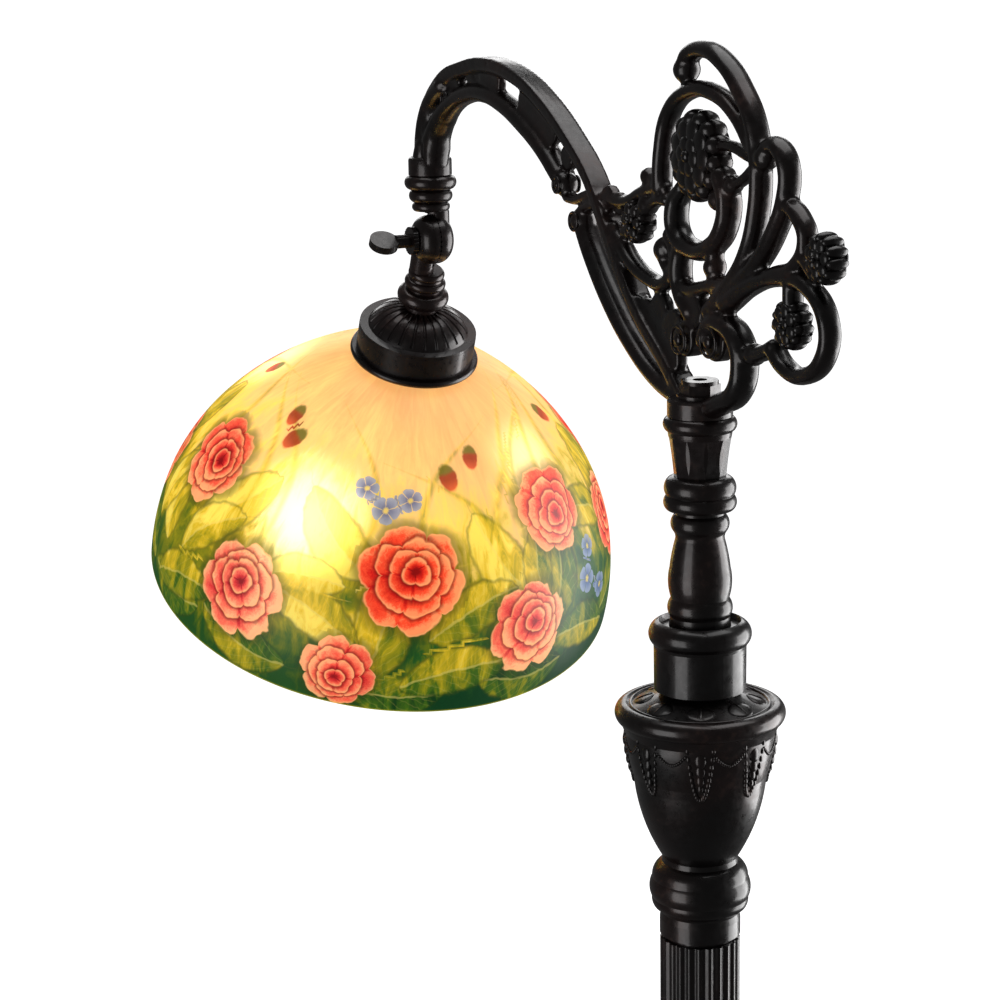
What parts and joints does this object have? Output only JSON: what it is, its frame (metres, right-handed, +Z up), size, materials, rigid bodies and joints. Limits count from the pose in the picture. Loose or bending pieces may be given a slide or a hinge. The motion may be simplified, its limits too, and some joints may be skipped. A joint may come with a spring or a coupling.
{
  "type": "bridge floor lamp",
  "caption": "Floor lamp with a weighted base, a fluted pole and a cast scrollwork arm that carries a tilting bell shade over a screw-in bulb.",
  "frame": {"origin": "centre of the base's underside, on the pole's axis, at floor level", "axes": "+Z up along the pole; the arm carries the shade towards -X and its scrollwork's tail points to +X; the clamp key faces -Y"},
  "size_m": [0.63, 0.2654, 1.5253],
  "materials": {
    "bronze": "glossy dark bronze",
    "felt": "felt",
    "iron": "rough",
    "bushing": "matte",
    "plated_steel": "zinc plated",
    "painted_glass": "hand painted inside, satin",
    "brass": "satin",
    "liner": "pressed fibre",
    "porcelain": "unglazed",
    "screw_shell": "bright",
    "bulb_glass": "frosted"
  },
  "bodies": {
    "stand": {"foot_pad": "felt", "base_casting": "bronze", "base_weight": "iron", "cord_bushing": "bushing", "base_washer": "plated_steel", "base_nut": "plated_steel", "foot_cup": "bronze", "lower_column": "bronze", "knop": "bronze", "upper_column": "bronze", "column_cap": "bronze", "urn": "bronze", "drip_dish": "bronze", "collar_drum": "bronze", "turned_neck": "bronze", "double_bead": "bronze", "faceted_collar": "bronze", "lower_rod": "plated_steel", "upper_rod": "plated_steel", "rod_coupling": "plated_steel", "top_washer": "bronze", "top_nut": "bronze", "top_cap": "bronze", "bridge_arm": "bronze", "swivel_nipple": "plated_steel", "swivel_upper_half": "bronze"},
    "shade_head": {"swivel_lower_half": "bronze", "fluted_cap": "bronze", "fitter_ring": "bronze", "glass_shade": "painted_glass", "shade_washer": "brass", "socket_locknut": "plated_steel", "socket_cap": "brass", "lamp_nipple": "plated_steel", "socket_shell": "brass", "socket_liner": "liner", "socket_block": "porcelain", "socket_screw_shell": "screw_shell", "socket_contact": "brass"},
    "key": {"clamp_key": "bronze"},
    "bulb": {"bulb_base": "screw_shell", "bulb_tip": "brass", "bulb_glass": "bulb_glass"}
  },
  "joints": [
    {"name": "shade_tilt", "type": "hinge", "parent": "stand", "child": "shade_head", "pos_m": [-0.2907, 0, 1.4073], "axis": [0, 1, 0], "range_deg": [-40, 55]},
    {"name": "clamp_key_turn", "type": "hinge", "parent": "stand", "child": "key", "pos_m": [-0.2907, 0, 1.4073], "axis": [0, 1, 0], "range_deg": [-90, 90]},
    {"name": "bulb_unscrew", "type": "slide", "parent": "shade_head", "child": "bulb", "axis": [-0.3907, 0, -0.9205], "range_m": [0, 0.026]}
  ]
}
